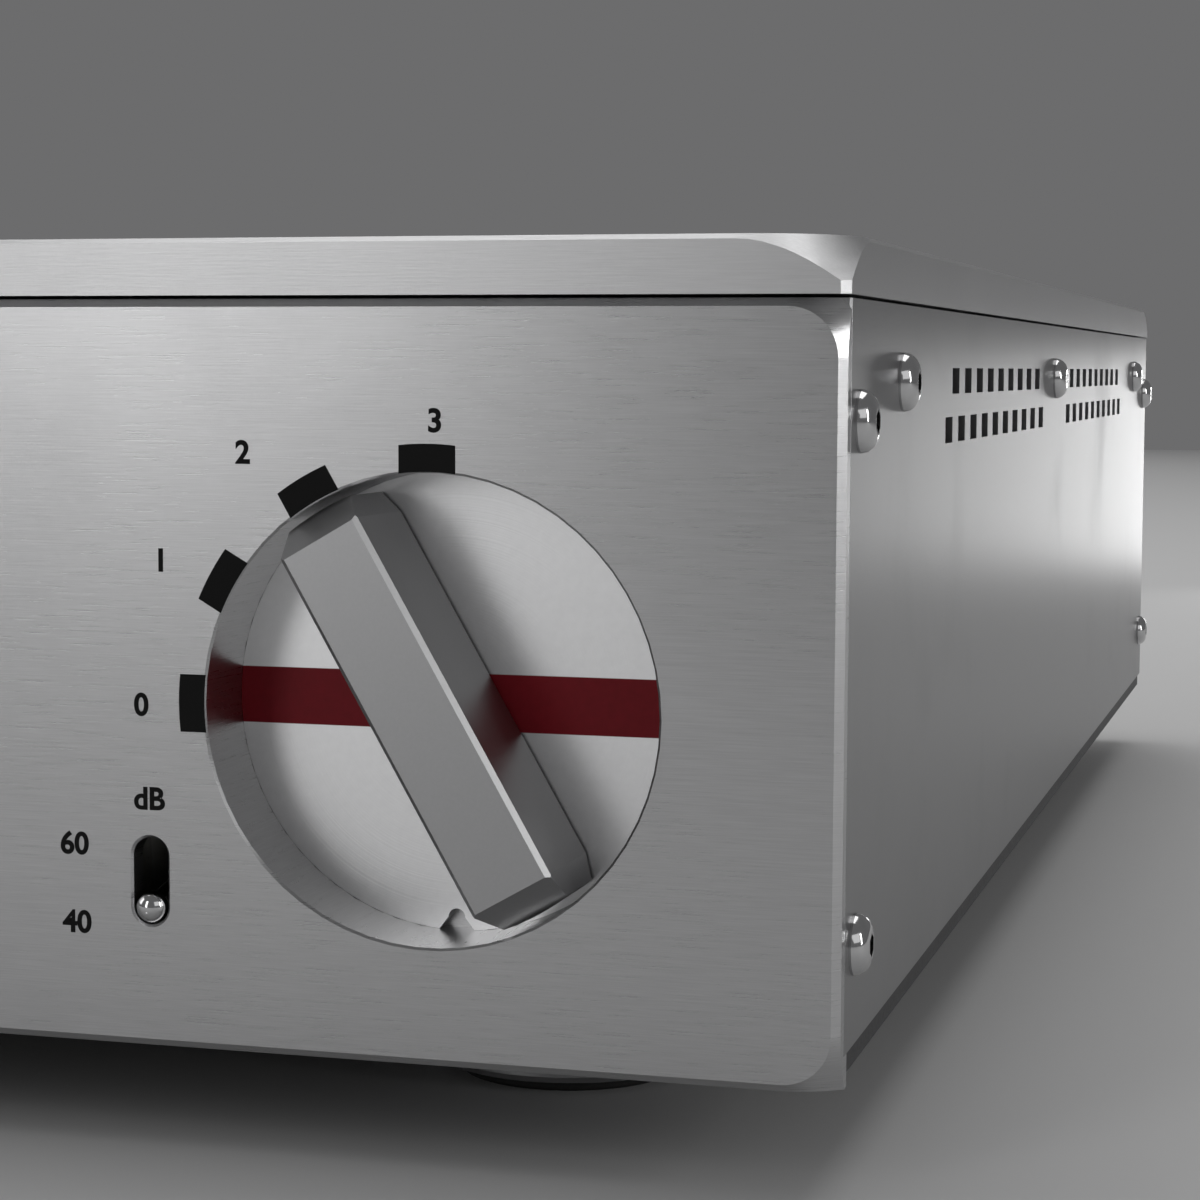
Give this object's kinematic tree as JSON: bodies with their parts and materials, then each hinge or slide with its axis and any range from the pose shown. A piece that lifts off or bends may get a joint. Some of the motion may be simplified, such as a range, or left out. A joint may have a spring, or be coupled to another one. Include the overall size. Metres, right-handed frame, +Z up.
{
  "type": "phono preamp",
  "caption": "Full-width aluminium phono preamp with a bar selector turning in a round dish, a recessed gain lever, vented sides and rear sockets.",
  "frame": {"origin": "bottom centre of the object's bounding box, on the surface that the feet stand on", "axes": "+X is the object's right side seen from the front, +Y the rear, +Z up"},
  "size_m": [0.4344, 0.459, 0.115],
  "materials": {
    "brushed_panel": "horizontally brushed, clear anodised",
    "cover_metal": "fine bead-blasted, clear anodised",
    "side_metal": "fine bead-blasted, clear anodised",
    "dish_floor": "turned satin with a dark red stripe",
    "bar_metal": "brushed, clear anodised",
    "chromed": "polished chrome",
    "black_sheet": "satin black powder coat",
    "foot_metal": "turned, clear anodised",
    "pad_rubber": "matt black rubber",
    "plated_steel": "zinc plated",
    "block_metal": "bare milled aluminium",
    "gold_brass": "gold plated brass",
    "black_plastic": "matt black plastic",
    "white_plastic": "off-white insulator",
    "board": "green solder mask",
    "wafer": "brown laminate",
    "tape": "yellow winding tape",
    "can_metal": "tinned screening can",
    "capacitor_sleeve": "black sleeve",
    "relay_case": "white relay case",
    "lead_jacket": "black jacket",
    "fuse_glass": "clear glass"
  },
  "bodies": {
    "chassis": {"front_panel": "brushed_panel", "top_cover": "cover_metal", "side_panel_right": "side_metal", "side_panel_left": "side_metal", "bottom_plate": "black_sheet", "rear_panel": "black_sheet", "rear_post_right": "block_metal", "rear_post_left": "block_metal", "cover_blocks": "block_metal", "side_end_screws": "chromed", "side_cover_screws": "chromed", "frame_screws": "plated_steel", "rear_screws": "chromed", "inner_screws": "plated_steel", "foot_front_left": "foot_metal", "foot_front_right": "foot_metal", "foot_rear_left": "foot_metal", "foot_rear_right": "foot_metal", "foot_pads": "pad_rubber", "foot_screws": "plated_steel", "dial_disc": "dish_floor", "switch_bracket": "plated_steel", "switch_nut": "plated_steel", "switch_housing": "plated_steel", "switch_wafers": "wafer", "switch_tie_rods": "plated_steel", "gain_switch_body": "black_plastic", "gain_switch_bracket": "plated_steel", "gain_switch_nut": "plated_steel", "main_board": "board", "power_board": "board", "board_standoffs": "gold_brass", "phono_module_left": "can_metal", "phono_module_right": "can_metal", "input_relays": "relay_case", "mains_transformer": "tape", "transformer_bolt": "plated_steel", "filter_capacitors": "capacitor_sleeve", "regulator_heatsink": "block_metal", "jack_shells": "gold_brass", "jack_insulators": "white_plastic", "jack_contacts": "gold_brass", "jack_nuts": "plated_steel", "earth_post": "gold_brass", "mains_inlet": "black_plastic", "inlet_pins": "plated_steel", "mains_lead": "lead_jacket", "secondary_lead": "lead_jacket", "supply_lead": "lead_jacket", "selector_lead": "lead_jacket"},
    "selector": {"selector_bar": "bar_metal", "selector_shaft": "plated_steel", "selector_grub_screw": "plated_steel", "switch_rotors": "white_plastic"},
    "gain_lever": {"gain_lever": "chromed"},
    "fuse_drawer": {"fuse_drawer": "black_plastic", "fuse": "fuse_glass"},
    "earth_washer": {"earth_washer": "gold_brass"},
    "earth_nut": {"earth_nut": "gold_brass"}
  },
  "joints": [
    {"name": "selector_turn", "type": "hinge", "parent": "chassis", "child": "selector", "pos_m": [0.164, -0.2245, 0.0577], "axis": [0, -1, 0], "range_deg": [-30, 60]},
    {"name": "gain_tilt", "type": "hinge", "parent": "chassis", "child": "gain_lever", "pos_m": [0.1274, -0.2085, 0.03505], "axis": [-1, 0, 0], "range_deg": [0, 24.6]},
    {"name": "fuse_drawer_slide", "type": "slide", "parent": "chassis", "child": "fuse_drawer", "axis": [0, 1, 0], "range_m": [0, 0.014]},
    {"name": "earth_washer_slide", "type": "slide", "parent": "chassis", "child": "earth_washer", "axis": [0, 1, 0], "range_m": [0, 0.0028]},
    {"name": "earth_nut_turn", "type": "hinge", "parent": "earth_washer", "child": "earth_nut", "pos_m": [0.158, 0.2232, 0.032], "axis": [0, 1, 0], "range_deg": [0, 1440]}
  ],
  "couplings": [
    {"joint": "earth_nut_turn", "follows": "earth_washer_slide", "rad_per_m": 8976}
  ]
}
